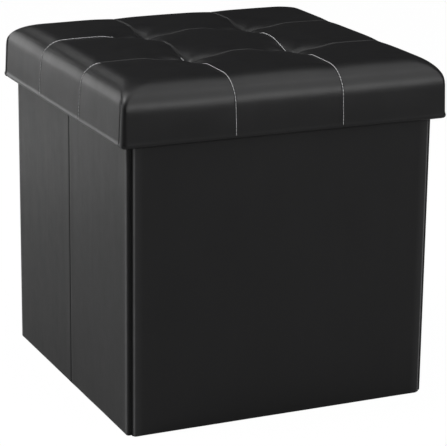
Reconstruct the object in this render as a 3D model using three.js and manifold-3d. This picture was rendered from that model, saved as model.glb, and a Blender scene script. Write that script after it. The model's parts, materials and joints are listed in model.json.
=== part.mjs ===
// Folding storage ottoman with a lift-off tufted lid.
// Millimetres. The origin is on the floor under the middle of the footprint, +Z is up and
// the front wall faces -Y. Four soft-jointed walls make the box, each side wall folds at its
// middle, and a base board hinged at the back wall lies on a cloth bottom.
import * as THREE from "three";
import { mergeVertices } from "three/addons/utils/BufferGeometryUtils.js";
import Module from "manifold-3d";

const wasm = await Module();
wasm.setup();

// Driving dimensions
const BODY_HALF = 181.5; // middle of the box to the outer face of a wall
const WALL_HEIGHT = 354;
const LID_HALF = 190;
const LID_TOP = 394;
const LID_HEM = 325; // lowest edge of the lid, which overlaps the walls
const CLEAR = 0.3; // clearance between pieces that lie on each other

// Layers of a wall, from outside in
const LEATHER = 1.2;
const WALL_BOARD = 5.4;
const LINING = 0.8;
const BOARD_Z = { low: 1.5, high: WALL_HEIGHT - 1.5 }; // the leather turns over the board's edges
const LINING_TOP = 329.5; // above it the leather is turned down inside
const BOARD_OUT = BODY_HALF - LEATHER - CLEAR;
const BOARD_IN = BOARD_OUT - WALL_BOARD;
const LINING_OUT = BOARD_IN - CLEAR;
const LINING_IN = LINING_OUT - LINING;

// How far each layer of a wall stops short of the corner where the outer faces would meet.
// The side walls stop earlier at the back, because they turn about a line set forward of it.
const CORNER_STOPS = { leather: 4.6, boardOut: 5.9, boardIn: 8.3, lining: 8.6 };
const REAR_STOPS = { leather: 6.5, boardOut: 7.6, boardIn: 9.5, lining: 9.8 };

// The side walls fold about a vertical line just outside their leather
const FOLD_Y = -2.05;
const FOLD_GAP = { leather: 0.15, board: 0.6, lining: 0.6 };

// Flexible leather strips that close the vertical corners
const STRIP_SKIN = 0.2; // set back from the walls' outer faces
const STRIP_DEPTH = 1.4;

// Base board with its cloth and pull ribbon, hinged at the back wall
const BASE_HALF_WIDTH = 172;
const BASE_FRONT = -172;
const BASE_BACK = 172.5;
const BASE_BOTTOM = 1.2;
const BASE_BOARD = 2.4;
const BASE_CLOTH = 0.5;
const RIBBON = { halfWidth: 10, length: 42, thickness: 0.4, lift: 0.2, inset: 1 };
const BOTTOM_CLOTH = { half: 173, low: 0.2, high: 0.8 };

// Lid: a board with a skirt on each side, foam on top and one leather cover over all of it
const LID_CORNER = 8; // radius of the lid's corners in plan
const LID_SHOULDER = 26; // radius of the padded upper edge
const HEM_RETURN = { outer: 184.7, inner: 183.8, top: 348 };
const SKIRT = { outer: 187.2, inner: 185, low: 326.5, high: 360 };
const LID_BOARD = { half: 184.7, low: 355.2, high: 364.2 };
const LID_LINING = { half: 184.4, low: 354.3, high: 354.9 };
const FOAM_LOW = 364.5;

// Tufts, at the crossings of the seams that divide the lid in thirds
const TUFT_PITCH = (2 * LID_HALF) / 3;
const DIMPLE = { depth: 12.5, mouth: 45, floor: 3 };
const CORD_RADIUS = 1;
const CORD_HOLE = 1.5;
const BUTTON = { radius: 9, low: 355.5, high: 357.5 };
const BUTTON_POCKET = { radius: 10, high: 357.8 };

const ROUND_SIDES = 24;
const SMALL_SIDES = 12;
const CORNER_STEPS = 5; // facets of a rounded corner in plan
const SHOULDER_STEPS = 8; // facets of the padded upper edge
const SAME_POINT = 1e-4; // points closer than this are one point
const CUT = 20; // how far a cutting tool runs past the piece that it cuts

const leather = new THREE.MeshStandardMaterial({ color: 0x1b1b1d, roughness: 0.42 });
const fibreboard = new THREE.MeshStandardMaterial({ color: 0x9a7a55, roughness: 0.85 });
const liningCloth = new THREE.MeshStandardMaterial({ color: 0x161617, roughness: 0.95 });
const foam = new THREE.MeshStandardMaterial({ color: 0xe6dfc8, roughness: 0.95 });
const plastic = new THREE.MeshStandardMaterial({ color: 0x2a2a2a, roughness: 0.6 });
const thread = new THREE.MeshStandardMaterial({ color: 0x8b8b8b, roughness: 0.8 });

const ottoman = new THREE.Group();

function addPiece(name, geometry, material) {
  const piece = new THREE.Mesh(geometry, material);
  piece.name = name;
  ottoman.add(piece);
}

// Solids for cutting and joining

function toSolid(geometry) {
  const bare = geometry.clone();
  bare.deleteAttribute("normal");
  bare.deleteAttribute("uv");
  const merged = mergeVertices(bare, SAME_POINT);
  const mesh = new wasm.Mesh({
    numProp: 3,
    vertProperties: merged.attributes.position.array,
    triVerts: new Uint32Array(merged.index.array),
  });
  return new wasm.Manifold(mesh);
}

function toGeometry(solid) {
  const mesh = solid.getMesh();
  const geometry = new THREE.BufferGeometry();
  geometry.setAttribute("position", new THREE.BufferAttribute(mesh.vertProperties, 3));
  geometry.setIndex(new THREE.BufferAttribute(mesh.triVerts, 1));
  return geometry;
}

// Basic shapes

function box(x0, x1, y0, y1, z0, z1) {
  const geometry = new THREE.BoxGeometry(x1 - x0, y1 - y0, z1 - z0);
  return geometry.translate((x0 + x1) / 2, (y0 + y1) / 2, (z0 + z1) / 2);
}

function squareBlock(half, z0, z1) {
  return box(-half, half, -half, half, z0, z1);
}

function upright(points, z0, z1) {
  const outline = new THREE.Shape(points.map(([x, y]) => new THREE.Vector2(x, y)));
  const geometry = new THREE.ExtrudeGeometry(outline, { depth: z1 - z0, bevelEnabled: false });
  return geometry.translate(0, 0, z0);
}

function roundedSquare(half, radius) {
  const inner = half - radius;
  const shape = new THREE.Shape();
  shape.moveTo(-inner, -half);
  shape.lineTo(inner, -half);
  shape.absarc(inner, -inner, radius, -Math.PI / 2, 0);
  shape.lineTo(half, inner);
  shape.absarc(inner, inner, radius, 0, Math.PI / 2);
  shape.lineTo(-inner, half);
  shape.absarc(-inner, inner, radius, Math.PI / 2, Math.PI);
  shape.lineTo(-half, -inner);
  shape.absarc(-inner, -inner, radius, Math.PI, 1.5 * Math.PI);
  return shape;
}

function roundedBlock(half, radius, z0, z1) {
  const options = { depth: z1 - z0, bevelEnabled: false, curveSegments: CORNER_STEPS };
  return new THREE.ExtrudeGeometry(roundedSquare(half, radius), options).translate(0, 0, z0);
}

// A rounded block whose upper edge is a quarter round: layers of the same outline, each
// pulled in along the quarter circle.
function shoulderedBlock(half, corner, shoulder, z0, z1) {
  const outline = roundedSquare(half, corner).extractPoints(CORNER_STEPS).shape;
  const ring = outline.slice(0, -1);
  const layers = [{ pull: 0, z: z0 }];
  for (let i = 0; i <= SHOULDER_STEPS; i += 1) {
    const turn = ((i / SHOULDER_STEPS) * Math.PI) / 2;
    layers.push({
      pull: shoulder * (1 - Math.cos(turn)),
      z: z1 - shoulder + shoulder * Math.sin(turn),
    });
  }
  return toGeometry(loft(ring, layers, half));
}

function loft(ring, layers, half) {
  const count = ring.length;
  const points = [];
  for (const { pull, z } of layers) {
    const scale = (half - pull) / half;
    ring.forEach((p) => points.push(p.x * scale, p.y * scale, z));
  }
  const faces = [];
  for (let i = 1; i < layers.length; i += 1) {
    for (let j = 0; j < count; j += 1) {
      const a = (i - 1) * count + j;
      const b = (i - 1) * count + ((j + 1) % count);
      faces.push(a, b, b + count, a, b + count, a + count);
    }
  }
  const top = (layers.length - 1) * count;
  for (const [p, q, r] of THREE.ShapeUtils.triangulateShape(ring, [])) {
    faces.push(r, q, p);
    faces.push(top + p, top + q, top + r);
  }
  const mesh = new wasm.Mesh({
    numProp: 3,
    vertProperties: new Float32Array(points),
    triVerts: new Uint32Array(faces),
  });
  return new wasm.Manifold(mesh);
}

function uprightCylinder(x, y, radius, z0, z1, sides) {
  const geometry = new THREE.CylinderGeometry(radius, radius, z1 - z0, sides);
  return geometry.rotateX(Math.PI / 2).translate(x, y, (z0 + z1) / 2);
}

// Walls. An outline is drawn for the left side or the front, and mirrored for the others.

const mirrorX = ([x, y]) => [-x, y];
const mirrorY = ([x, y]) => [x, -y];

function turned(points, mirror) {
  return points.map(mirror).reverse();
}

// Front wall layers in plan, from their outer to their inner face
function frontOutline(outer, inner, stopOut, stopIn) {
  const a = BODY_HALF - stopOut;
  const b = BODY_HALF - stopIn;
  return [[-a, -outer], [a, -outer], [b, -inner], [-b, -inner]];
}

// Left wall layers in plan, from y = low to y = high
function leftOutline(outer, inner, low, high) {
  return [[-outer, low[0]], [-inner, low[1]], [-inner, high[1]], [-outer, high[0]]];
}

function addWall(name, leatherPlan, boardPlan, liningPlan) {
  addPiece(`${name}_leather`, upright(leatherPlan, 0, WALL_HEIGHT), leather);
  addPiece(`${name}_board`, upright(boardPlan, BOARD_Z.low, BOARD_Z.high), fibreboard);
  addPiece(`${name}_lining`, upright(liningPlan, BOARD_Z.low, LINING_TOP), liningCloth);
}

function addFrontAndBack() {
  const s = CORNER_STOPS;
  const skin = frontOutline(BODY_HALF, BODY_HALF - LEATHER, s.leather, s.leather);
  const board = frontOutline(BOARD_OUT, BOARD_IN, s.boardOut, s.boardIn);
  const inside = frontOutline(LINING_OUT, LINING_IN, s.lining, s.lining);
  addWall("front", skin, board, inside);
  addWall("back", turned(skin, mirrorY), turned(board, mirrorY), turned(inside, mirrorY));
}

// The half of a side wall behind the fold, or in front of it
function sideHalf(rear) {
  const s = rear ? REAR_STOPS : CORNER_STOPS;
  const end = (stop) => (rear ? BODY_HALF - stop : stop - BODY_HALF);
  const fold = (gap) => (rear ? FOLD_Y + gap : FOLD_Y - gap);
  const span = (gap, stopOut, stopIn) => {
    const atFold = [fold(gap), fold(gap)];
    const atCorner = [end(stopOut), end(stopIn)];
    return rear ? [atFold, atCorner] : [atCorner, atFold];
  };
  return {
    skin: leftOutline(BODY_HALF, BODY_HALF - LEATHER, ...span(FOLD_GAP.leather, s.leather, s.leather)),
    board: leftOutline(BOARD_OUT, BOARD_IN, ...span(FOLD_GAP.board, s.boardOut, s.boardIn)),
    inside: leftOutline(LINING_OUT, LINING_IN, ...span(FOLD_GAP.lining, s.lining, s.lining)),
  };
}

function addSides() {
  for (const [half, rear] of [["rear", true], ["front", false]]) {
    const { skin, board, inside } = sideHalf(rear);
    addWall(`left_${half}`, skin, board, inside);
    addWall(`right_${half}`, turned(skin, mirrorX), turned(board, mirrorX), turned(inside, mirrorX));
  }
}

// A strip across a corner, from the side wall's leather to the front or back wall's leather
function cornerStrip(sideStop) {
  const out = BODY_HALF - STRIP_SKIN;
  const sideEnd = BODY_HALF - sideStop + CLEAR;
  const frontEnd = BODY_HALF - CORNER_STOPS.leather + CLEAR;
  return [
    [-out, -sideEnd],
    [-frontEnd, -out],
    [-frontEnd, -out + STRIP_DEPTH],
    [-out + STRIP_DEPTH, -sideEnd],
  ];
}

function addCornerStrips() {
  const front = cornerStrip(CORNER_STOPS.leather);
  const rear = turned(cornerStrip(REAR_STOPS.leather), mirrorY);
  addPiece("front_left_corner_strip", upright(front, 0, WALL_HEIGHT), leather);
  addPiece("front_right_corner_strip", upright(turned(front, mirrorX), 0, WALL_HEIGHT), leather);
  addPiece("back_left_corner_strip", upright(rear, 0, WALL_HEIGHT), leather);
  addPiece("back_right_corner_strip", upright(turned(rear, mirrorX), 0, WALL_HEIGHT), leather);
}

// Bottom of the box

function addBase() {
  const clothLow = BASE_BOTTOM + BASE_BOARD + CLEAR;
  const clothHigh = clothLow + BASE_CLOTH;
  const ribbonLow = clothHigh + RIBBON.lift;
  const ribbonFront = BASE_FRONT + RIBBON.inset;
  const w = BASE_HALF_WIDTH;
  addPiece("base_board", box(-w, w, BASE_FRONT, BASE_BACK, BASE_BOTTOM, BASE_BOTTOM + BASE_BOARD), fibreboard);
  addPiece("base_cloth", box(-w, w, BASE_FRONT, BASE_BACK, clothLow, clothHigh), liningCloth);
  addPiece(
    "base_pull_ribbon",
    box(
      -RIBBON.halfWidth,
      RIBBON.halfWidth,
      ribbonFront,
      ribbonFront + RIBBON.length,
      ribbonLow,
      ribbonLow + RIBBON.thickness,
    ),
    liningCloth,
  );
  addPiece("bottom_cloth", squareBlock(BOTTOM_CLOTH.half, BOTTOM_CLOTH.low, BOTTOM_CLOTH.high), liningCloth);
}

// Lid

function tuftPlaces() {
  const t = TUFT_PITCH / 2;
  return [["front_left", -t, -t], ["front_right", t, -t], ["back_left", -t, t], ["back_right", t, t]];
}

// The hollow at a tuft: a shallow funnel, grown by the layers that lie over it
function dimple(x, y, grow) {
  const profile = [
    new THREE.Vector2(0, LID_TOP - DIMPLE.depth - grow),
    new THREE.Vector2(DIMPLE.floor + grow, LID_TOP - DIMPLE.depth - grow),
    new THREE.Vector2(DIMPLE.mouth + grow, LID_TOP - grow),
    new THREE.Vector2(DIMPLE.mouth + grow, LID_TOP + CUT),
    new THREE.Vector2(0, LID_TOP + CUT),
  ];
  const funnel = new THREE.LatheGeometry(profile, ROUND_SIDES);
  return toSolid(funnel.rotateX(Math.PI / 2).translate(x, y, 0));
}

function withDimples(solid, grow) {
  return tuftPlaces().reduce((left, [, x, y]) => left.subtract(dimple(x, y, grow)), solid);
}

// One layer of the padded lid, set in from the outer leather face by inset
function lidForm(inset, z0) {
  const block = shoulderedBlock(
    LID_HALF - inset,
    LID_CORNER - inset,
    LID_SHOULDER - inset,
    z0,
    LID_TOP - inset,
  );
  return withDimples(toSolid(block), inset);
}

// The cover wraps the shoulder and the sides, turns under the skirt and up inside it
function addCover() {
  const outer = lidForm(0, LID_HEM);
  const wrapped = squareSolid(HEM_RETURN.outer, LID_HEM - CUT, HEM_RETURN.top);
  const hollow = lidForm(LEATHER, LID_HEM + LEATHER).subtract(wrapped);
  const mouth = squareSolid(HEM_RETURN.inner, LID_HEM - CUT, HEM_RETURN.top + 1);
  addPiece("lid_cover", toGeometry(outer.subtract(hollow).subtract(mouth)), leather);
}

function squareSolid(half, z0, z1) {
  return toSolid(squareBlock(half, z0, z1));
}

function withCordHoles(solid, radius, z0, z1) {
  return tuftPlaces().reduce(
    (left, [, x, y]) => left.subtract(toSolid(uprightCylinder(x, y, radius, z0, z1, SMALL_SIDES))),
    solid,
  );
}

function addFoam() {
  const block = lidForm(LEATHER + CLEAR, FOAM_LOW);
  addPiece("lid_foam", toGeometry(withCordHoles(block, CORD_HOLE, FOAM_LOW - CUT, LID_TOP)), foam);
}

function addLidBoard() {
  const board = squareSolid(LID_BOARD.half, LID_BOARD.low, LID_BOARD.high);
  const drilled = withCordHoles(board, CORD_HOLE, LID_BOARD.low - CUT, LID_BOARD.high + CUT);
  const pockets = tuftPlaces().reduce((left, [, x, y]) => {
    const { radius, high } = BUTTON_POCKET;
    const pocket = uprightCylinder(x, y, radius, LID_BOARD.low - CUT, high, ROUND_SIDES);
    return left.subtract(toSolid(pocket));
  }, drilled);
  addPiece("lid_board", toGeometry(pockets), fibreboard);
  addPiece("lid_lining", squareBlock(LID_LINING.half, LID_LINING.low, LID_LINING.high), liningCloth);
}

// Two long skirt strips run the full width, and two short ones stand between them
function addSkirts() {
  const { outer, inner, low, high } = SKIRT;
  const rounded = toSolid(roundedBlock(outer, LID_CORNER - LEATHER - CLEAR, low, high));
  const ring = rounded.subtract(squareSolid(inner, low - CUT, high + CUT));
  const far = outer + CUT;
  const strip = (x0, x1, y0, y1) => {
    return toGeometry(ring.intersect(toSolid(box(x0, x1, y0, y1, low - CUT, high + CUT))));
  };
  const short = inner - CLEAR;
  addPiece("lid_skirt_front", strip(-far, far, -far, -inner), fibreboard);
  addPiece("lid_skirt_back", strip(-far, far, inner, far), fibreboard);
  addPiece("lid_skirt_left", strip(-far, -inner, -short, short), fibreboard);
  addPiece("lid_skirt_right", strip(inner, far, -short, short), fibreboard);
}

function addTufts() {
  const cordTop = LID_TOP - DIMPLE.depth - LEATHER - 2 * CLEAR;
  for (const [place, x, y] of tuftPlaces()) {
    const cord = uprightCylinder(x, y, CORD_RADIUS, BUTTON_POCKET.high, cordTop, SMALL_SIDES);
    const button = uprightCylinder(x, y, BUTTON.radius, BUTTON.low, BUTTON.high, ROUND_SIDES);
    addPiece(`tuft_cord_${place}`, cord, thread);
    addPiece(`tuft_button_${place}`, button, plastic);
  }
}

addFrontAndBack();
addSides();
addCornerStrips();
addBase();
addCover();
addFoam();
addLidBoard();
addSkirts();
addTufts();

export default ottoman;
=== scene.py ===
import bpy
import bmesh
import json
import math
import numpy as np
from mathutils import Euler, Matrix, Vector, noise


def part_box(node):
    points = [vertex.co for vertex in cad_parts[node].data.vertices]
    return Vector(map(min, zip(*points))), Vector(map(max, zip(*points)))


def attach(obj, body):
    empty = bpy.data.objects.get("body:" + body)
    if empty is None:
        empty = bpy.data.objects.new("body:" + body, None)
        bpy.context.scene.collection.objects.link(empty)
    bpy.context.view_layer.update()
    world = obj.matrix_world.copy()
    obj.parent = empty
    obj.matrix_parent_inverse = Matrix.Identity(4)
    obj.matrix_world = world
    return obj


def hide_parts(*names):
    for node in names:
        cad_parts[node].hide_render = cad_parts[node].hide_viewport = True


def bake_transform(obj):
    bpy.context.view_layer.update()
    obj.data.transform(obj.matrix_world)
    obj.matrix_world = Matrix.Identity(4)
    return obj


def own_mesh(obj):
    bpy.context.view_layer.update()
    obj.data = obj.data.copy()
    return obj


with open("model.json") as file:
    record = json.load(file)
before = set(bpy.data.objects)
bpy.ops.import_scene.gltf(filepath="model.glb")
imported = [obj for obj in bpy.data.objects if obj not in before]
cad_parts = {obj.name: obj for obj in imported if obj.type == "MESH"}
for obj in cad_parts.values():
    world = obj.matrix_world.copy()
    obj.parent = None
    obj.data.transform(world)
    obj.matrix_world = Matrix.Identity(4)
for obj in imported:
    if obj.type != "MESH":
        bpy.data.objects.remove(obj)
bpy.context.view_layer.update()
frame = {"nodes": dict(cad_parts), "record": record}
mm = 0.001
print("frame loaded,", len(frame["nodes"]), "nodes")


class Sock:
    # an output socket that takes part in sums
    def __init__(self, finish, socket):
        self.finish = finish
        self.socket = socket

    def maths(self, operation, first, second):
        return self.finish.node("ShaderNodeMath", {"operation": operation}, {0: first, 1: second})

    def __add__(self, other):
        return self.maths("ADD", self, other)

    __radd__ = __add__

    def __rsub__(self, other):
        return self.maths("SUBTRACT", other, self)

    def __mul__(self, other):
        return self.maths("MULTIPLY", self, other)

    __rmul__ = __mul__


class Finish:
    # a node material while it is being put together
    def __init__(self, name):
        self.material = bpy.data.materials.new(name)
        self.material.use_nodes = True
        self.tree = self.material.node_tree
        self.tree.nodes.clear()
        self.place = self.node("ShaderNodeTexCoord", out="Object")

    def node(self, kind, settings=None, values=None, out=0):
        made = self.tree.nodes.new(kind)
        for key, value in (settings or {}).items():
            if key == "stops":
                self.setStops(made.color_ramp, value)
            else:
                setattr(made, key, value)
        for key, value in (values or {}).items():
            if isinstance(value, Sock):
                self.tree.links.new(value.socket, made.inputs[key])
            else:
                made.inputs[key].default_value = value
        return Sock(self, made.outputs[out]) if made.outputs else None

    def setStops(self, ramp, stops):
        for item, (position, grey) in zip(ramp.elements, stops):
            item.position = position
            item.color = (grey, grey, grey, 1)

    def noise(self, scale, detail=2, roughness=0.5, place=None):
        values = {"Vector": place or self.place, "Scale": scale, "Detail": detail,
                  "Roughness": roughness}
        return self.node("ShaderNodeTexNoise", None, values)

    def stretched(self, x, y, z):
        values = {"Vector": self.place, "Scale": (x, y, z)}
        return self.node("ShaderNodeMapping", None, values)

    def blendColour(self, amount, first, second):
        first, second = (c if isinstance(c, Sock) else (*c, 1) for c in (first, second))
        values = {"Factor": amount, 6: first, 7: second}  # sockets 6 and 7 take the colours
        return self.node("ShaderNodeMix", {"data_type": "RGBA"}, values, out=2)

    def bump(self, height, strength, distance, under=None):
        values = {"Height": height, "Strength": strength, "Distance": distance}
        if under:
            values["Normal"] = under
        return self.node("ShaderNodeBump", None, values)

    def done(self, values):
        shader = self.node("ShaderNodeBsdfPrincipled", None, values)
        self.node("ShaderNodeOutputMaterial", None, {"Surface": shader})
        return self.material


leatherLook = {
    "dark": (0.0042, 0.0042, 0.0045),
    "light": (0.0074, 0.0074, 0.0078),
    "paintedHighlight": (0.11, 0.11, 0.112),  # painted highlight along edges and hems
    "gloss": 0.3,
    "specular": 0.27,
    "cloud": 14, "smudge": 60, "grain": 950, "fine": 2600,  # cells per metre
    "streak": (90, 90, 11),  # long streaks up the leather
}


def leatherFinish():
    look = leatherLook
    f = Finish("black_leather")
    cloudy = f.noise(look["cloud"], 3)
    smudge = f.noise(look["smudge"], 3)
    streak = f.noise(1, 3, place=f.stretched(*look["streak"]))
    pebbles = f.node("ShaderNodeTexVoronoi", {"feature": "SMOOTH_F1"},
                     {"Vector": f.place, "Scale": look["grain"], "Smoothness": 0.6})
    fine = f.noise(look["fine"], 2)
    colour = f.blendColour(cloudy * 0.6 + streak * 0.4, look["dark"], look["light"])
    # painted highlight: a light grey laid along edges and hems where the light would catch them
    paintedHighlight = f.node("ShaderNodeAttribute", {"attribute_name": "paintedEdgeHighlight"}, out="Fac")
    colour = f.blendColour(paintedHighlight * (0.7 + smudge * 0.6), colour, look["paintedHighlight"])
    gloss = look["gloss"] - paintedHighlight * 0.06 + cloudy * 0.05 + smudge * 0.06 + streak * 0.07
    soft = f.bump(smudge * 0.6 + streak * 0.5, 0.3, 0.0006)
    grained = f.bump(pebbles * 0.8 + fine * 0.3, 0.22, 0.0002, soft)
    return f.done({
        "Base Color": colour, "Roughness": gloss, "Normal": grained,
        "Specular IOR Level": look["specular"],
    })


def clothFinish(name, dark, light, threads):
    f = Finish(name)
    fibres = f.noise(threads, 4, 0.7)
    blotch = f.noise(90, 3)
    dimples = f.node("ShaderNodeTexVoronoi", None, {"Vector": f.place, "Scale": threads * 0.35})
    colour = f.blendColour(fibres * 0.7 + blotch * 0.3, dark, light)
    normal = f.bump(fibres * 0.6 + dimples * 0.6, 0.5, 0.0005)
    return f.done({
        "Base Color": colour, "Roughness": 0.85 + fibres * 0.1, "Normal": normal,
        "Specular IOR Level": 0.25, "Sheen Weight": 0.25,
    })


def boardFinish():
    f = Finish("fibreboard")
    chips = f.noise(900, 4, 0.7)
    cloud = f.noise(35, 3)
    mix = chips * 0.65 + cloud * 0.35
    colour = f.blendColour(mix, (0.2, 0.125, 0.06), (0.42, 0.29, 0.17))
    return f.done({
        "Base Color": colour, "Roughness": 0.72 + chips * 0.15,
        "Normal": f.bump(chips, 0.3, 0.0003), "Specular IOR Level": 0.3,
    })


def threadFinish(name, dark, light):
    f = Finish(name)
    twist = f.node("ShaderNodeTexWave", {"bands_direction": "DIAGONAL"},
                   {"Vector": f.place, "Scale": 900, "Distortion": 1.5})
    wearAndHighlight = f.noise(400, 2)
    colour = f.blendColour(twist * 0.5 + wearAndHighlight * 0.5, dark, light)
    return f.done({
        "Base Color": colour, "Roughness": 0.5 + wearAndHighlight * 0.2,
        "Normal": f.bump(twist, 0.4, 0.0002),
    })


def foamFinish():
    f = Finish("foam")
    cells = f.node("ShaderNodeTexVoronoi", None, {"Vector": f.place, "Scale": 1400})
    tint = f.noise(20, 3)
    colour = f.blendColour(tint, (0.62, 0.55, 0.38), (0.8, 0.75, 0.6))
    return f.done({"Base Color": colour, "Roughness": 0.9 + tint * 0.05,
                   "Normal": f.bump(cells, 0.6, 0.0006), "Specular IOR Level": 0.2})


def plasticFinish():
    f = Finish("button_plastic")
    scuff = f.noise(300, 3)
    colour = f.blendColour(scuff, (0.02, 0.02, 0.02), (0.04, 0.04, 0.04))
    return f.done({"Base Color": colour, "Roughness": 0.45 + scuff * 0.15,
                   "Normal": f.bump(scuff, 0.1, 0.0002)})


leather = leatherFinish()
liningCloth = clothFinish("lining_cloth", (0.012, 0.012, 0.013), (0.03, 0.03, 0.032), 1500)
ribbonCloth = clothFinish("ribbon", (0.014, 0.014, 0.015), (0.034, 0.034, 0.036), 2600)
fibreboard = boardFinish()
seamThread = threadFinish("seam_thread", (0.38, 0.38, 0.39), (0.62, 0.62, 0.63))
tuftThread = threadFinish("tuft_thread", (0.3, 0.3, 0.31), (0.45, 0.45, 0.46))
foam = foamFinish()
buttonPlastic = plasticFinish()
print("finishes made")


mergeReach = 1e-6  # points closer than this are one


def newPiece(name, points, faces, finish):
    mesh = bpy.data.meshes.new(name)
    mesh.from_pydata([tuple(p) for p in points], [], faces)
    mesh.validate()
    form = bmesh.new()
    form.from_mesh(mesh)
    bmesh.ops.remove_doubles(form, verts=form.verts, dist=mergeReach)
    bmesh.ops.recalc_face_normals(form, faces=form.faces)
    form.to_mesh(mesh)
    form.free()
    mesh.shade_smooth()
    piece = bpy.data.objects.new(name, mesh)
    bpy.context.scene.collection.objects.link(piece)
    mesh.materials.append(finish)
    return piece


def turnOut(piece, inner):
    # the faces of an open sheet look away from the point inner
    mesh = piece.data
    centre = Vector(inner)
    out = sum((p.center - centre).dot(p.normal) * p.area for p in mesh.polygons)
    if out < 0:
        mesh.flip_normals()


def thicken(piece, thickness):
    solid = piece.modifiers.new("thickness", "SOLIDIFY")
    solid.thickness = thickness
    solid.offset = -1
    applyModifiers(piece)


def applyModifiers(piece):
    graph = bpy.context.evaluated_depsgraph_get()
    made = bpy.data.meshes.new_from_object(piece.evaluated_get(graph))
    old = piece.data
    piece.modifiers.clear()
    piece.data = made
    made.name = old.name


def vertexPlaces(piece):
    return np.array([tuple(v.co) for v in piece.data.vertices])


def setPaintedHighlight(piece, wearAndHighlight):
    # how much painted highlight the leather gets at each vertex, from 0 to 1
    layer = piece.data.attributes.new("paintedEdgeHighlight", "FLOAT", "POINT")
    layer.data.foreach_set("value", np.clip(wearAndHighlight, 0, 1).astype(np.float32))


def gridFaces(rows, columns):
    faces = []
    for r in range(rows - 1):
        for c in range(columns - 1):
            here = r * columns + c
            faces.append((here, here + 1, here + columns + 1, here + columns))
    return faces


def ease(value, low, high):
    t = np.clip((value - low) / (high - low), 0, 1)
    return t * t * (3 - 2 * t)


# stitches are short rounded lengths of thread laid along a seam
stitchLook = {
    "length": 3.5 * mm, "gap": 0.45 * mm, "radius": 0.37 * mm, "sides": 6,
    "lookAhead": 0.4 * mm,  # how far either way the direction of the seam is taken
    "sunkBy": 0.1,  # share of the radius below the seam's own line
    # share of the length, width, lift
    "rings": ((0, 0.45, 0.0), (0.12, 0.9, 0.45), (0.5, 1.0, 0.8), (0.88, 0.9, 0.45),
              (1, 0.45, 0.0)),
}


def addTube(rings, sides, points, faces):
    # rings are rows of places round a tube, which is closed at both ends
    first, last = len(points), len(points) + (len(rings) - 1) * sides
    for ring in rings:
        points.extend(ring)
    for r in range(len(rings) - 1):
        low, high = first + r * sides, first + (r + 1) * sides
        for j in range(sides):
            i = (j + 1) % sides
            faces.append((low + j, low + i, high + i, high + j))
    faces.append(tuple(first + j for j in range(sides))[::-1])
    faces.append(tuple(last + j for j in range(sides)))


def stitchRow(path, normals, look, points, faces):
    # path and normals are rows of places and directions along a seam
    steps = np.linalg.norm(np.diff(path, axis=0), axis=1)
    at = np.concatenate([[0], np.cumsum(steps)])
    total, reach = at[-1], look["lookAhead"]

    def where(s, rows=path):
        return np.array([np.interp(s, at, rows[:, k]) for k in range(3)])

    pitch = look["length"] + look["gap"]
    for k in range(int(total / pitch)):
        start = (k + 0.5) * pitch - look["length"] / 2
        rings = []
        for share, width, lift in look["rings"]:
            s = start + share * look["length"]
            ahead = Vector(where(min(s + reach, total)) - where(max(s - reach, 0))).normalized()
            up = Vector(where(s, normals)).normalized()
            side = ahead.cross(up).normalized()
            centre = Vector(where(s)) + up * (look["radius"] * (lift - look["sunkBy"]))
            radius = look["radius"] * width
            turns = [2 * math.pi * j / look["sides"] for j in range(look["sides"])]
            rings.append([centre + side * (radius * math.cos(a)) + up * (radius * math.sin(a))
                          for a in turns])
        addTube(rings, look["sides"], points, faces)


cameraPlace = {
    "at": (-0.954, -2.1265, 0.8657),
    "yaw": 24.39,  # turned from +Y towards +X
    "pitch": 16.55,  # looking down
    "roll": 0.69,
    "lens": 167.7,
}

# place, the point it faces, size and power of each light
lidTopAt = (0, 0, 0.38)
softboxes = {
    "front_box": ((0.95, -2.3, 1.2), lidTopAt, (1.8, 0.8), 30),
    "upper_box": ((0.9, -1.3, 2.05), lidTopAt, (1.7, 1.6), 20),
    "overhead_box": ((0.65, -0.05, 2.45), (0.1, -0.05, 0.38), (1.7, 2.0), 18),
    "back_top_box": ((-0.2, 2.45, 1.75), lidTopAt, (0.9, 0.4), 2.2),
    "back_box": ((-1.27, 2.5, 0.64), lidTopAt, (1.5, 1.2), 15),
    "left_pool": ((-0.78, 1.15, 0.95), (-0.74, 1.15, 0), (0.5, 0.5), 3.6),
    "left_box": ((-1.9, 0.5, 0.43), (-0.18, -0.1, 0.2), (1.6, 0.8), 5),
    "corner_box": ((-1.2, 0.1, 2.25), lidTopAt, (0.55, 0.55), 26),
    "corner_fill": ((-0.95, 0.5, 2.25), lidTopAt, (1.1, 1.1), 18),
}
narrowLights = {"left_pool": 50}  # spread in degrees; the others spread all round

studioLook = {"backdrop": 1.0, "room": 0.025}  # what the camera sees, and what lights the piece
floorLook = {
    "half": 12,
    "drop": 0.4 * mm,
    "paint": 0.3, "glow": 0.12,
    "white": 1.04,  # glow of the surface that the camera sees
    "whiteShare": 0.94,
}


def addCamera():
    data = bpy.data.cameras.new("camera")
    data.lens = cameraPlace["lens"]
    data.clip_start = 0.05
    camera = bpy.data.objects.new("camera", data)
    camera.location = cameraPlace["at"]
    yaw = math.radians(-cameraPlace["yaw"])
    pitch = math.radians(90 - cameraPlace["pitch"])
    roll = math.radians(cameraPlace["roll"])
    turn = Euler((pitch, 0, yaw)).to_matrix() @ Euler((0, 0, roll)).to_matrix()
    camera.rotation_euler = turn.to_euler()
    bpy.context.scene.collection.objects.link(camera)
    bpy.context.scene.camera = camera


def addSoftbox(name, at, aim, size, power):
    data = bpy.data.lights.new(name, "AREA")
    data.shape = "RECTANGLE"
    data.size, data.size_y = size
    data.energy = power
    data.spread = math.radians(narrowLights.get(name, 180))
    box = bpy.data.objects.new(name, data)
    box.location = at
    box.rotation_euler = (Vector(aim) - Vector(at)).to_track_quat("-Z", "Y").to_euler()
    bpy.context.scene.collection.objects.link(box)


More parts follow.
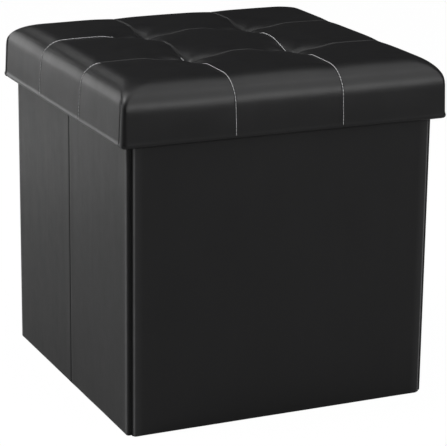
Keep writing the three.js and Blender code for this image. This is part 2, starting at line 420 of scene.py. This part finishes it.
def addWorld():
    world = bpy.data.worlds.new("studio")
    world.use_nodes = True
    tree = world.node_tree
    tree.nodes.clear()
    seen = tree.nodes.new("ShaderNodeBackground")
    seen.inputs["Strength"].default_value = studioLook["backdrop"]
    seen.inputs["Color"].default_value = (1, 1, 1, 1)
    room = tree.nodes.new("ShaderNodeBackground")
    room.inputs["Color"].default_value = (1, 1, 1, 1)
    room.inputs["Strength"].default_value = studioLook["room"]
    path = tree.nodes.new("ShaderNodeLightPath")
    mix = tree.nodes.new("ShaderNodeMixShader")
    out = tree.nodes.new("ShaderNodeOutputWorld")
    tree.links.new(path.outputs["Is Camera Ray"], mix.inputs[0])
    tree.links.new(room.outputs[0], mix.inputs[1])
    tree.links.new(seen.outputs[0], mix.inputs[2])
    tree.links.new(mix.outputs[0], out.inputs[0])
    bpy.context.scene.world = world


def addFloor():
    look, half, white = floorLook, floorLook["half"], (1, 1, 1, 1)
    points = [(-half, -half, 0), (half, -half, 0), (half, half, 0), (-half, half, 0)]
    mesh = bpy.data.meshes.new("floor")
    mesh.from_pydata(points, [], [(0, 1, 2, 3)])
    floor = bpy.data.objects.new("floor", mesh)
    floor.location = (0, 0, -look["drop"])
    bpy.context.scene.collection.objects.link(floor)
    f = Finish("pale_floor")
    paint = f.node("ShaderNodeBsdfDiffuse", None, {"Color": (*[look["paint"]] * 3, 1)})
    glow = f.node("ShaderNodeEmission", None, {"Color": white, "Strength": look["glow"]})
    lit = f.node("ShaderNodeAddShader", None, {0: paint, 1: glow})
    bright = f.node("ShaderNodeEmission", None, {"Color": white, "Strength": look["white"]})
    seen = f.node("ShaderNodeMixShader", None, {0: look["whiteShare"], 1: lit, 2: bright})
    camera = f.node("ShaderNodeLightPath", out="Is Camera Ray")
    both = f.node("ShaderNodeMixShader", None, {0: camera, 1: lit, 2: seen})
    f.node("ShaderNodeOutputMaterial", None, {"Surface": both})
    mesh.materials.append(f.material)


addCamera()
addWorld()
addFloor()
for boxName, boxLook in softboxes.items():
    addSoftbox(boxName, *boxLook)
bpy.context.scene.view_settings.view_transform = "Standard"
print("camera, lights and floor set")


lidLow, lidHigh = (np.array(v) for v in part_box("lid_cover"))

lidShape = {
    "half": lidHigh[0],
    "hem": lidLow[2],
    "plateau": 390.6 * mm,  # height of the top where the shoulders start
    "turnIn": 31 * mm,  # width of the strip of the plain box that becomes the shoulder
    "wideX": 27 * mm, "deepX": 22 * mm,  # shoulder over the left and right edges
    "wideY": 35 * mm, "deepY": 28 * mm,  # shoulder over the front and back edges
    "corner": 3.5 * mm,  # plan radius at the sides
    "cornerTop": 21 * mm,  # plan radius where the shoulder meets the top
    "crown": 3.0 * mm,
    "puff": 0.9 * mm,
    "sidePuff": 0.5 * mm,
    "puffWidth": 16 * mm,
    "tuftDepth": 15.8 * mm,
    "backTuft": 0.9,  # share of that depth at the back tufts
    "tuftReach": 56 * mm,  # how far the creases run from a tuft
    "tuftPoint": 9 * mm,
    "creaseWide": 8.5 * mm,
    "groove": 0.35 * mm,
    "grooveWide": 1.1 * mm,
    "sunk": 1.1 * mm,
    "sunkFade": 12 * mm,
    "bulge": 0.7 * mm,
    "draft": 2.2 * mm,  # how far the hem stands out
    "draftHeight": 50 * mm,
    "roll": 0.3 * mm,  # rolled hem, front and back
    "sideRoll": 1.1 * mm,  # and at the sides
    "rollAt": 2.8 * mm, "rollWide": 2.6 * mm,
    "pucker": 0.13 * mm,
    "slowWave": 0.35 * mm,
    "inside": 183.9 * mm,  # inner face of the skirt
    "ceiling": 355.05 * mm,
}
cornerSeam = {
    "top": 377 * mm,
    "fade": 6 * mm,
    "away": 7.5 * mm,  # how far behind the corner it runs
    "cut": 1.3 * mm, "cutWide": 0.9 * mm,
    "lip": 0.5 * mm, "lipWide": 1.3 * mm, "lipAway": 5.3 * mm,
}
seamAt = lidShape["half"] / 3
# runs of seam over the top whose thread is sunk in a deeper crease
sunkRuns = [
    ("x", -seamAt, -48 * mm, 176 * mm), ("x", seamAt, 70 * mm, 176 * mm),
    ("y", -seamAt, -170 * mm, 176 * mm), ("y", seamAt, -96 * mm, 176 * mm),
]
tuftPlaces = [(x, y) for x in (-seamAt, seamAt) for y in (-seamAt, seamAt)]


def lidLines(step):
    # places of the grid lines across the lid, closer together at seams and edges
    half = lidShape["half"]
    near = np.array([-9, -7, -5.2, -3.6, -2.3, -1.3, -0.6, 0, 0.6, 1.3, 2.3, 3.6, 5.2, 7, 9]) * mm
    edge = half - np.array([0, 0.5, 1, 1.6, 2.4, 3.4, 4.4, 5.3, 6.1, 6.8, 7.5, 8.2, 8.9, 9.8, 11.6,
                            14.2, 17, 20, 23.4, 27, 31]) * mm
    edgeStrip, seamStrip = 33 * mm, 10.4 * mm  # no even lines this close to an edge or a seam
    lines = list(np.arange(-half + edgeStrip, half - edgeStrip, step))
    lines = [v for v in lines if all(abs(v - s) > seamStrip for s in (-seamAt, seamAt))]
    for s in (-seamAt, seamAt):
        lines += list(s + near)
    lines += list(edge) + list(-edge)
    return np.array(sorted(set(np.round(lines, 7))))


def lidDrops():
    # places of the rows down a lid side, from the top edge
    deep = lidShape["plateau"] - lidShape["hem"]
    upper = np.array([0, 1.6, 3.4, 5.4, 7.6, 10, 12.6, 15.4, 18.4, 21.6, 26, 31]) * mm
    middle = np.linspace(upper[-1], deep - 10 * mm, 7)[1:]
    lower = deep - np.array([8.6, 7.4, 6.6, 5.8, 5, 4.2, 3.5]) * mm
    return np.concatenate([upper, middle, lower])


def hump(away, wide):
    return np.exp(-(away / wide) ** 2)


def fromSeam(v):
    return np.minimum(abs(v - seamAt), abs(v + seamAt))


def seamDip(v):
    # 0 on a seam line, 1 in the middle of a panel
    return 1 - hump(fromSeam(v), lidShape["puffWidth"])


def grooveDip(v):
    return hump(fromSeam(v), lidShape["grooveWide"])


def sunkDip(x, y):
    # 1 along the runs of seam that are sunk
    dip, fade = np.zeros_like(x), lidShape["sunkFade"]
    for across, at, start, end in sunkRuns:
        along, off = (y, x - at) if across == "x" else (x, y - at)
        run = ease(along, start, start + fade) * (1 - ease(along, end - fade, end))
        dip = np.maximum(dip, run * hump(off, lidShape["grooveWide"]))
    return dip


def fadeFrom(distance, reach):
    return np.clip(1 - distance / reach, 0, 1) ** 1.2


def tuftPull(x, y):
    # 1 where a tuft holds the top down; creases run from it along the seams
    s = lidShape
    pull = np.zeros_like(x)
    for tx, ty in tuftPlaces:
        dx, dy = abs(x - tx), abs(y - ty)
        away = np.hypot(dx, dy)
        point = np.exp(-(away / s["tuftPoint"]) ** 1.2)
        spread = 1 + away / s["tuftReach"]
        alongX = fadeFrom(dx, s["tuftReach"]) * np.exp(-(dy / (s["creaseWide"] * spread)))
        alongY = fadeFrom(dy, s["tuftReach"]) * np.exp(-(dx / (s["creaseWide"] * spread)))
        share = s["backTuft"] if ty > 0 else 1
        # a rounded maximum of the three, which is 1 where all of them are
        here = (point ** 5 + alongX ** 5 + alongY ** 5) ** 0.2 / 3 ** (0.2 * point)
        pull = np.maximum(pull, share * here)
    return pull


def lidUnevenness(x, y, drop):
    # a slow wave all over and small puckers beside the seams
    s = lidShape
    slow = np.array([noise.noise(Vector(p) * 17) for p in zip(x, y, drop)])
    quick = np.array([noise.noise(Vector(p) * 120) for p in zip(x, y, drop)])
    beside = np.maximum(1 - seamDip(x), 1 - seamDip(y))
    return slow * s["slowWave"] + quick * s["pucker"] * beside


def shoulderInset(wide, deep, z):
    lift = np.clip(1 - (lidShape["plateau"] - z) / deep, 0, 1)
    return wide * (1 - np.sqrt(1 - lift ** 2))


def spread(v, ring, reach):
    # slides a place along the ring so that its end meets reach; the seams stay where they are
    share = abs(v) / np.maximum(ring, 1e-9)
    return v + np.sign(v) * (reach - ring) * ease(share, 0.42, 1)


def cornerSeamMove(frontBack, y, z, drop):
    # a groove behind the corner on the two side faces, with a raised lip beside it
    c = cornerSeam
    fromCorner = np.where(frontBack, -1, lidShape["half"] - abs(y))
    on = (drop > 0) * (1 - ease(z, c["top"] - c["fade"], c["top"]))
    cut = hump(fromCorner - c["away"], c["cutWide"]) * c["cut"]
    lip = hump(fromCorner - c["lipAway"], c["lipWide"]) * c["lip"]
    return on * (lip - cut)


def lidPadding(x, y, z, drop, turn, frontBack, inward):
    # how far the leather stands out from the plain shape
    s = lidShape
    out, up, onTop = np.sin(turn), np.cos(turn), drop <= 0
    dipX, dipY = seamDip(x), seamDip(y)
    grooveX, grooveY = grooveDip(x), grooveDip(y)
    sideDip = np.where(frontBack, dipX, dipY)
    aboveHem = z - s["hem"]
    sideHeight = s["plateau"] - s["deepX"] - s["hem"]
    bulge = s["bulge"] * np.sin(math.pi * np.clip(aboveHem / sideHeight, 0, 1))
    along = np.where(frontBack, x, y) / s["half"]
    puffTop = s["puff"] * (dipX * dipY - 1)
    puffSide = s["sidePuff"] * (sideDip - 1) * ease(z, s["hem"] + 4 * mm, s["hem"] + 34 * mm)
    move = up ** 2 * puffTop + out ** 2 * (puffSide + bulge * (1 - along ** 4))
    sideGroove = np.where(frontBack, grooveX, grooveY)
    flat = onTop & (inward > 1 * mm)
    move = move - s["groove"] * np.where(flat, np.maximum(grooveX, grooveY), sideGroove)
    move = move - s["sunk"] * np.where(onTop, sunkDip(x, y), 0)
    move = move + out * s["draft"] * np.clip(1 - aboveHem / s["draftHeight"], 0, 1)
    roll = np.where(frontBack, s["roll"], s["sideRoll"]) * out
    move = move + roll * hump(aboveHem - s["rollAt"], s["rollWide"])
    return move + lidUnevenness(x, y, drop)


def lidSurface(x, y, drop):
    # x, y and drop are places on a plain box; the result is the place on the padded lid
    s = lidShape
    ring = np.maximum(abs(x), abs(y))
    inward = s["half"] - ring
    width = s["turnIn"]
    topTurn = np.arctan2(np.clip(width - inward, 0, None), width)
    sideTurn = math.pi / 2 - np.arctan2(np.clip(width - drop, 0, None), width)
    onTop = drop <= 0
    turn = np.where(onTop, topTurn, sideTurn)
    shoulder = s["plateau"] - s["deepY"]
    z = s["plateau"] - s["deepY"] * (1 - np.cos(turn))
    low = (shoulder - s["hem"]) / (s["plateau"] - width - s["hem"])
    z = np.where(onTop | (drop < width), z, shoulder - (drop - width) * low)
    settle = ease(ring, 0.5 * s["half"], s["half"] - width)
    reachX = ring + (width - s["wideX"]) * settle
    reachY = ring + (width - s["wideY"]) * settle
    turned = inward < width
    reachX = np.where(turned, s["half"] - shoulderInset(s["wideX"], s["deepX"], z), reachX)
    reachY = np.where(turned, s["half"] - shoulderInset(s["wideY"], s["deepY"], z), reachY)
    px, py = spread(x, ring, reachX), spread(y, ring, reachY)
    # round the corners as seen from above
    corner = s["corner"] + (s["cornerTop"] - s["corner"]) * np.cos(turn) ** 2
    corner = np.maximum(corner * settle, 1e-6)
    qx = np.clip(px, corner - reachX, reachX - corner)
    qy = np.clip(py, corner - reachY, reachY - corner)
    ox, oy = px - qx, py - qy
    size = np.maximum(np.hypot(ox, oy), 1e-12)
    rounded = (abs(ox) > 1e-9) & (abs(oy) > 1e-9)
    frontBack = abs(y) >= abs(x)
    px = np.where(rounded, qx + ox / size * corner, px)
    py = np.where(rounded, qy + oy / size * corner, py)
    nx = np.where(rounded, ox / size, np.where(frontBack, 0, np.sign(x)))
    ny = np.where(rounded, oy / size, np.where(frontBack, np.sign(y), 0))
    move = lidPadding(x, y, z, drop, turn, frontBack, inward)
    crown = s["crown"] * (1 - (x / s["half"]) ** 2) * (1 - (y / s["half"]) ** 2)
    outward = np.sin(turn) * move
    z = z + np.cos(turn) * move + np.where(onTop, crown - s["tuftDepth"] * tuftPull(x, y), 0)
    outward = outward + cornerSeamMove(frontBack, y, z, drop)
    return np.stack([px + nx * outward, py + ny * outward, z], axis=-1)


def lidHemRows():
    # the cover rolls under the skirt and comes up inside it; inset from the outer face, and height
    inner = (lidShape["half"] - lidShape["inside"]) / mm
    hem, ceiling = lidShape["hem"] / mm, lidShape["ceiling"] / mm
    rows = [
        (0.2, hem + 2.5), (0.7, hem + 1.5), (1.5, hem + 0.7), (2.5, hem + 0.2), (3.6, hem),
        (inner - 1.6, hem), (inner - 0.7, hem + 0.3), (inner - 0.2, hem + 1.0), (inner, hem + 2.0),
        (inner, hem + 12), (inner, ceiling - 8.05), (inner - 0.6, ceiling - 7.05),
        (inner - 0.9, ceiling - 5.05), (inner - 0.9, ceiling),
    ]
    return [(inset * mm, z * mm) for inset, z in rows]


def buildLidGrid(lines, drops):
    # vertex numbers of the top grid and the four sides, shared along their edges
    places, number = [], {}

    def vertex(x, y, drop):
        key = (round(x, 6), round(y, 6), round(drop, 6))
        if key not in number:
            number[key] = len(places)
            places.append((x, y, drop))
        return number[key]

    half = lidShape["half"]
    top = [[vertex(x, y, 0.0) for x in lines] for y in lines]
    sides = {
        "front": [[vertex(x, -half, d) for x in lines] for d in drops],
        "back": [[vertex(x, half, d) for x in lines[::-1]] for d in drops],
        "left": [[vertex(-half, y, d) for y in lines[::-1]] for d in drops],
        "right": [[vertex(half, y, d) for y in lines] for d in drops],
    }
    return np.array(places), top, sides


def quads(block):
    faces = []
    for upper, lower in zip(block[:-1], block[1:]):
        for c in range(len(upper) - 1):
            faces.append((upper[c], lower[c], lower[c + 1], upper[c + 1]))
    return faces


# strength and width of the painted highlight on the lid's side hems and corner seams
lidHighlight = {
    "hem": 0.75, "hemWide": 1.8 * mm,
    "seam": 0.6, "seamWide": 1.4 * mm, "seamAway": 4.6 * mm,
    "within": 1.5 * mm,
}


def highlightLidEdges(piece):
    # painted highlight along the side hems and beside the corner seams
    s, w = lidShape, lidHighlight
    spots = vertexPlaces(piece)
    x, y, z = abs(spots[:, 0]), abs(spots[:, 1]), spots[:, 2]
    sideFace = (x > s["half"] - w["within"]) & (y < s["half"] - w["within"])
    hem = hump(z - s["hem"] - s["rollAt"], w["hemWide"])
    seam = hump(s["half"] - y - w["seamAway"], w["seamWide"]) * (z < cornerSeam["top"])
    setPaintedHighlight(piece, np.where(sideFace, np.maximum(w["hem"] * hem, w["seam"] * seam), 0))


def buildLid():
    lines, drops = lidLines(4 * mm), lidDrops()
    places, top, sides = buildLidGrid(lines, drops)
    points = lidSurface(places[:, 0], places[:, 1], places[:, 2])
    faces = quads(top)
    for block in sides.values():
        faces += quads(block)
    # the hem follows the lowest row all the way round
    loop = []
    for side in ("front", "right", "back", "left"):
        loop += sides[side][-1][:-1]
    base = points[loop]
    core = lidShape["half"] - lidShape["corner"]
    away = base[:, :2] - np.clip(base[:, :2], -core, core)
    away = away / np.maximum(np.linalg.norm(away, axis=1, keepdims=True), 1e-9)
    points = list(points)
    count = len(loop)
    last = loop
    for inset, z in lidHemRows():
        ring = list(range(len(points), len(points) + count))
        points += [np.array([*(p[:2] - a * inset), z]) for p, a in zip(base, away)]
        for k in range(count):
            i = (k + 1) % count
            faces.append((last[k], ring[k], ring[i], last[i]))
        last = ring
    middle = len(points)
    points.append(np.array([0, 0, lidShape["ceiling"]]))
    faces += [(last[k], middle, last[(k + 1) % count]) for k in range(count)]
    piece = newPiece("lid_cushion", points, faces, leather)
    # painted highlight on the side hems and beside the corner seams
    highlightLidEdges(piece)
    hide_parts("lid_cover", "lid_foam")
    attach(piece, "lid")
    return lines, points, top, sides


lidLinesUsed, lidPoints, lidTop, lidSides = buildLid()
print("lid cushion made")


def seamPath(across, at):
    # vertex numbers from the hem up one side, over the top and down the other
    lines = lidLinesUsed
    k = int(np.argmin(abs(lines - at)))
    last = len(lines) - 1
    if across == "x":  # the seam keeps its x and runs front to back
        rise = [row[k] for row in lidSides["front"]][::-1]
        over = [row[k] for row in lidTop]
        fall = [row[last - k] for row in lidSides["back"]]
    else:
        rise = [row[last - k] for row in lidSides["left"]][::-1]
        over = list(lidTop[k])
        fall = [row[k] for row in lidSides["right"]]
    return rise + over[1:-1] + fall


lidStitches = {"lift": 0.3 * mm, "sunkLift": 0.95 * mm, "aboveHem": 1 * mm}


def buildLidStitches():
    piece = bpy.data.objects["lid_cushion"]
    points, faces = [], []
    cloud = vertexPlaces(piece)
    normals = np.array([tuple(v.normal) for v in piece.data.vertices])
    for across in ("x", "y"):
        for at in (-seamAt, seamAt):
            path = [lidPoints[k] for k in seamPath(across, at)]
            near = [int(np.argmin(((cloud - p) ** 2).sum(axis=1))) for p in path]
            ups = normals[near]
            path = np.array(path)
            sunk = sunkDip(path[:, 0], path[:, 1])
            lift = lidStitches["lift"] - lidStitches["sunkLift"] * sunk
            lifted = path + ups * lift[:, None]
            keep = lifted[:, 2] > lidShape["hem"] + lidStitches["aboveHem"]
            stitchRow(lifted[keep], ups[keep], stitchLook, points, faces)
    stitches = newPiece("lid_seam_stitches", points, faces, seamThread)
    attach(stitches, "lid")


buildLidStitches()
print("lid stitched")


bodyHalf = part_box("front_leather")[0][1] * -1
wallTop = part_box("front_leather")[1][2]
foldAt = (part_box("left_rear_leather")[0][1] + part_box("left_front_leather")[1][1]) / 2

wallShape = {
    "edge": 2.7 * mm,  # rounding of the upright edges
    "foldEdge": 1.7 * mm,  # rounding along the side folds
    "highlightSide": 1.9 * mm, "highlightFront": 0.9 * mm,  # the painted highlight line's distance from a corner
    "short": 0.9 * mm,  # how far short of the corner a cover ends
    "tuck": 4.6 * mm,  # how far the leather turns in at an edge
    "thick": 7.9 * mm,
    "crest": 3.9 * mm,  # rounding over the top of a wall
    "flap": 24 * mm,  # leather turned down inside
    "foot": 2.6 * mm,
    "footCorner": 2.2 * mm,
    "wave": 0.22 * mm,
    "flatWithin": 12 * mm,  # the waves die away this close to an edge
    "highlightDepth": 0.4 * mm, "highlightWide": 1.2 * mm,
    "leather": 0.9 * mm,
}

# the way each wall faces, and which of its ends is at the side fold
walls = {
    "front": ((0, -1), None), "back": ((0, 1), None),
    "left_front": ((-1, 0), "high"), "left_rear": ((-1, 0), "low"),
    "right_front": ((1, 0), "high"), "right_rear": ((1, 0), "low"),
}


def wallEnds(node, facing):
    low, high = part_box(node)
    axis = 0 if facing[0] == 0 else 1
    return low[axis], high[axis]


def wallRows():
    # (depth behind the outer face, height, how much the upright edges turn in)
    s = wallShape
    rows = []
    for z in np.linspace(wallTop - s["flap"], wallTop - s["crest"], 7)[:-1]:
        rows.append((s["thick"], z, 0.0))
    for k in range(9):
        a = math.pi * k / 8
        depth = s["thick"] / 2 + s["thick"] / 2 * math.cos(a)
        z = wallTop - s["crest"] + s["crest"] * math.sin(a)
        rows.append((depth, z, max(0.0, -math.cos(a))))
    for z in np.linspace(wallTop - s["crest"], s["foot"], 46)[1:]:
        rows.append((0.0, z, 1.0))
    for k in range(1, 6):
        a = math.pi / 2 * k / 5
        depth, z = s["foot"] * (1 - math.cos(a)), s["foot"] * (1 - math.sin(a))
        rows.append((depth, z, 1.0))
    rows.append((s["thick"] * 0.6, 0.0, 0.5))
    rows.append((s["thick"], 0.0, 0.0))
    return rows


def edgeColumns(end, way, radius, tuck):
    # from the tucked end round the edge; (depth, place along the wall)
    columns = [(tuck, end), ((tuck + radius) / 2, end)]
    for k in range(6):
        a = math.pi / 2 * k / 5
        depth, inset = radius - radius * math.sin(a), radius - radius * math.cos(a)
        columns.append((depth, end + way * inset))
    return columns


def wallColumns(low, high, lowRadius, highRadius, lowTuck, highTuck):
    left = edgeColumns(low, 1, lowRadius, lowTuck)
    right = edgeColumns(high, -1, highRadius, highTuck)[::-1]
    inside = np.linspace(left[-1][1], right[0][1], 40)[1:-1]
    return left + [(0.0, u) for u in inside] + right


def toWall(facing, along, depth, z):
    reach = bodyHalf - depth
    if facing[0] == 0:
        return (along, facing[1] * reach, z)
    return (facing[0] * reach, along, z)


def highlightWallEdges(piece, facing, ends):
    # painted highlight along the upright edges beside the corners
    s = wallShape
    spots = vertexPlaces(piece)
    across, main = (0, 1) if facing[0] == 0 else (1, 0)
    depth = bodyHalf - abs(spots[:, main])
    wearAndHighlight = np.zeros(len(spots))
    for end in ends:
        along = s["highlightSide"] if facing[1] == 0 else s["highlightFront"]
        away = np.hypot(abs(spots[:, across] - end) - along, depth - s["highlightDepth"])
        wearAndHighlight = np.maximum(wearAndHighlight, hump(away, s["highlightWide"]))
    setPaintedHighlight(piece, wearAndHighlight)


def footShrink(z):
    # the lower corners of a cover are rounded
    r = wallShape["footCorner"]
    return r - math.sqrt(max(0.0, r * r - (r - z) ** 2)) if z < r else 0.0


def wallWave(along, z, seed):
    slow = noise.noise(Vector((along * 14, z * 7, 0)) + seed)
    quick = noise.noise(Vector((along * 45, z * 12, 3)) + seed)
    return slow * wallShape["wave"] + quick * wallShape["wave"] * 0.35


def buildWall(name, facing, fold):
    s = wallShape
    low, high = wallEnds(name + "_leather", facing)
    low = low + (0 if fold == "low" else s["short"])
    high = high - (0 if fold == "high" else s["short"])
    innerLow, innerHigh = wallEnds(name + "_lining", facing)
    radii = [s["foldEdge"] if fold == end else s["edge"] for end in ("low", "high")]
    columns = wallColumns(low, high, *radii, s["tuck"], s["tuck"])
    rows = wallRows()
    seed = Vector((facing[0] * 3.1, facing[1] * 5.7, len(name)))
    points = []
    for rowDepth, z, turn in rows:
        share = rowDepth / s["thick"]
        lowNow = low + (innerLow - low) * share + (0.0 if fold == "low" else footShrink(z))
        highNow = high + (innerHigh - high) * share - (0.0 if fold == "high" else footShrink(z))
        for depth, along in columns:
            place = lowNow + (along - low) / (high - low) * (highNow - lowNow)
            flat = ease(min(along - low, high - along), 0, s["flatWithin"]) * turn
            wave = (wallWave(along, z, seed) + s["wave"]) * flat
            points.append(toWall(facing, place, rowDepth + depth * turn + wave, z))
    faces = gridFaces(len(rows), len(columns))
    piece = newPiece(name + "_cover", points, faces, leather)
    turnOut(piece, toWall(facing, (low + high) / 2, s["thick"] / 2, wallTop / 2))
    thicken(piece, s["leather"])
    ends = [end for end, kind in ((low, "low"), (high, "high")) if kind != fold]
    # painted highlight along the upright edges beside the corners
    highlightWallEdges(piece, facing, ends)
    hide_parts(name + "_leather")
    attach(piece, name + "_wall")


for wallName, (wallFacing, wallFold) in walls.items():
    buildWall(wallName, wallFacing, wallFold)
print("wall covers made")


stripShape = {
    "crease": 2.4 * mm, "thick": 0.7 * mm,
    "behind": 1.7 * mm,  # how far behind the outer faces its edges lie
    "under": 0.4 * mm,  # how far they reach under the covers
    "topGap": 2 * mm, "footGap": 1.5 * mm,
    "columns": 13, "rows": 60,
    "wave": 0.12 * mm,
}


def buildStrip(name, node, sideWall, sx, sy):
    # a leather strip across a corner, folded inwards along its middle
    s = stripShape
    sideEnd = abs(wallEnds(sideWall + "_leather", (1, 0))[0 if sy < 0 else 1])
    mainEnd = wallEnds("front_leather", (0, 1))[1]
    start = np.array([bodyHalf - s["behind"], sideEnd - s["under"]])
    end = np.array([mainEnd - s["under"], bodyHalf - s["behind"]])
    across = end - start
    inward = np.array([-1.0, -1.0]) / math.sqrt(2)
    count = s["columns"]
    heights = np.linspace(wallTop - s["topGap"], s["footGap"], s["rows"])
    points = []
    for z in heights:
        for k in range(count):
            t = k / (count - 1)
            dip = s["crease"] * (1 - abs(2 * t - 1) ** 1.3)
            dip += s["wave"] * noise.noise(Vector((t * 3, z * 60, sx + 2 * sy)))
            p = start + across * t + inward * dip
            points.append((sx * p[0], sy * p[1], z))
    piece = newPiece(name, points, gridFaces(len(heights), count), leather)
    turnOut(piece, (0, 0, wallTop / 2))
    thicken(piece, s["thick"])
    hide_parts(node)
    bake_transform(piece)


for stripSide, sideSign in (("left", -1), ("right", 1)):
    for mainWall, half, mainSign in (("front", "front", -1), ("back", "rear", 1)):
        corner = f"{mainWall}_{stripSide}_corner"
        buildStrip(corner + "_fold", corner + "_strip", f"{stripSide}_{half}",
                   sideSign, mainSign)
print("corner strips made")


clothLook = {"thick": 0.6 * mm, "wave": 0.25 * mm, "calmEdge": 10 * mm, "turnEdge": 3 * mm}
thinClothLook = {**clothLook, "thick": 0.3 * mm, "wave": 0.15 * mm}
wavesPerMetre = 30


def clothPanel(name, corner, alongU, alongV, out, spacing, edgeDrop=0.0, look=clothLook):
    # a slightly wavy rectangle of cloth; its edges turn away from out by edgeDrop
    corner, alongU, alongV, out = (np.array(v, float) for v in (corner, alongU, alongV, out))
    sizeU, sizeV = np.linalg.norm(alongU), np.linalg.norm(alongV)
    stepsU = max(8, int(sizeU / spacing))
    stepsV = max(8, int(sizeV / spacing))
    points = []
    for v in np.linspace(0, 1, stepsV + 1):
        for u in np.linspace(0, 1, stepsU + 1):
            edge = min(u * sizeU, (1 - u) * sizeU, v * sizeV, (1 - v) * sizeV)
            spot = Vector((u * sizeU * wavesPerMetre, v * sizeV * wavesPerMetre, len(name)))
            lift = look["wave"] * noise.noise(spot) * min(1, edge / look["calmEdge"])
            turn = max(0.0, 1 - edge / look["turnEdge"]) ** 2 * edgeDrop
            points.append(corner + alongU * u + alongV * v + out * (lift - turn))
    piece = newPiece(name, points, gridFaces(stepsV + 1, stepsU + 1), liningCloth)
    if sum(p.normal.dot(Vector(out)) for p in piece.data.polygons) < 0:
        piece.data.flip_normals()
    thicken(piece, look["thick"])
    return piece, (sizeU, sizeV)


liningShape = {"spacing": 12 * mm, "gap": 0.4 * mm}


def addLinings():
    for name, (facing, _) in walls.items():
        node = name + "_lining"
        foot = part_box(node)[0][2]
        start, end = wallEnds(node, facing)
        corner, other = (np.array(toWall(facing, place, wallShape["thick"], foot))
                         for place in (start, end))
        out = (-facing[0], -facing[1], 0)
        height = wallTop - wallShape["flap"] - liningShape["gap"] - foot
        piece, size = clothPanel(name + "_lining_cloth", corner, other - corner, (0, 0, height),
                                 out, liningShape["spacing"])
        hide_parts(node)
        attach(piece, name + "_wall")


baseClothShape = {"grow": 0.6 * mm, "spacing": 6 * mm, "edgeDrop": 2.2 * mm}


def addBaseCloth():
    low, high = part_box("base_cloth")
    b = baseClothShape
    grow, size = b["grow"], high - low
    corner = (low[0] - grow, low[1] - grow, high[2])
    piece, flat = clothPanel("base_cloth_cover", corner, (size[0] + 2 * grow, 0, 0),
                             (0, size[1] + grow, 0), (0, 0, 1), b["spacing"], b["edgeDrop"])
    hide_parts("base_cloth")
    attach(piece, "base")


ribbonShape = {
    "turn": 1.6 * mm, "gap": 0.75 * mm, "thick": 0.3 * mm,
    "hump": 0.8 * mm, "lowHump": 0.15 * mm,  # lift of the upper and lower runs
    "wave": 0.12 * mm,
    "steps": 24, "turnSteps": 12, "columns": 9,
    "foldedTo": 0.3,
}


def ribbonPath(start, length, floor):
    # along the lower run, round the end and back along the upper run; (y, z)
    r = ribbonShape
    path = []
    for k in range(r["steps"] + 1):
        t = k / r["steps"]
        path.append((start + t * length, floor + r["lowHump"] * math.sin(math.pi * t)))
    for k in range(1, r["turnSteps"]):
        a = math.pi * k / r["turnSteps"]
        rise = r["gap"] / 2 * (1 - math.cos(a))
        path.append((start + length + r["turn"] * math.sin(a), floor + rise))
    for k in range(r["steps"] + 1):
        t = 1 - k / r["steps"]
        path.append((start + t * length, floor + r["gap"] + r["hump"] * math.sin(math.pi * t)))
    return path


def addRibbon():
    # a loop of ribbon that lies folded on the base cloth
    low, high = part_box("base_pull_ribbon")
    r = ribbonShape
    path = ribbonPath(low[1], high[1] - low[1] - r["turn"], low[2])
    points = []
    for y, z in path:
        for c in range(r["columns"]):
            u = c / (r["columns"] - 1)
            wave = r["wave"] * noise.noise(Vector((u * 4, y * 90, z * 90)))
            points.append((low[0] + u * (high[0] - low[0]), y, z + wave))
    faces = gridFaces(len(path), r["columns"])
    piece = newPiece("base_pull_loop", points, faces, ribbonCloth)
    thicken(piece, r["thick"])
    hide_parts("base_pull_ribbon")
    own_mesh(piece)
    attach(piece, "base")


bottomShape = {"lift": 0.2 * mm, "spacing": 8 * mm, "anchorIn": 1 * mm, "foldedTo": 0.007}


def addBottomCloth():
    low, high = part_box("bottom_cloth")
    b, size = bottomShape, high - low
    piece, flat = clothPanel("bottom_cloth_sheet", (low[0], low[1], low[2] + b["lift"]),
                             (size[0], 0, 0), (0, size[1], 0), (0, 0, -1), b["spacing"],
                             look=thinClothLook)
    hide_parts("bottom_cloth")
    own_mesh(piece)
    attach(piece, "back_wall")


lidLiningShape = {"inset": 0.6 * mm, "lift": 0.3 * mm, "spacing": 8 * mm}


def addLidLining():
    low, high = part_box("lid_lining")
    s = lidLiningShape
    inset, size = s["inset"], high - low
    corner = (low[0] + inset, low[1] + inset, low[2] + s["lift"])
    piece, flat = clothPanel("lid_lining_cloth", corner, (size[0] - 2 * inset, 0, 0),
                             (0, size[1] - 2 * inset, 0), (0, 0, -1), s["spacing"])
    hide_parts("lid_lining")
    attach(piece, "lid")


addLinings()
addBaseCloth()
addRibbon()
addBottomCloth()
addLidLining()
print("cloths made")


def paintFrame():
    finishes = {
        "black_leather": leather, "fibreboard": fibreboard, "lining_cloth": liningCloth,
        "ribbon": ribbonCloth, "foam": foam, "button_plastic": buttonPlastic,
        "tuft_thread": tuftThread,
    }
    for part in frame["record"]["subparts"]:
        mesh = frame["nodes"][part["node"]].data
        mesh.materials.clear()
        mesh.materials.append(finishes[part["material_slot"]])


paintFrame()
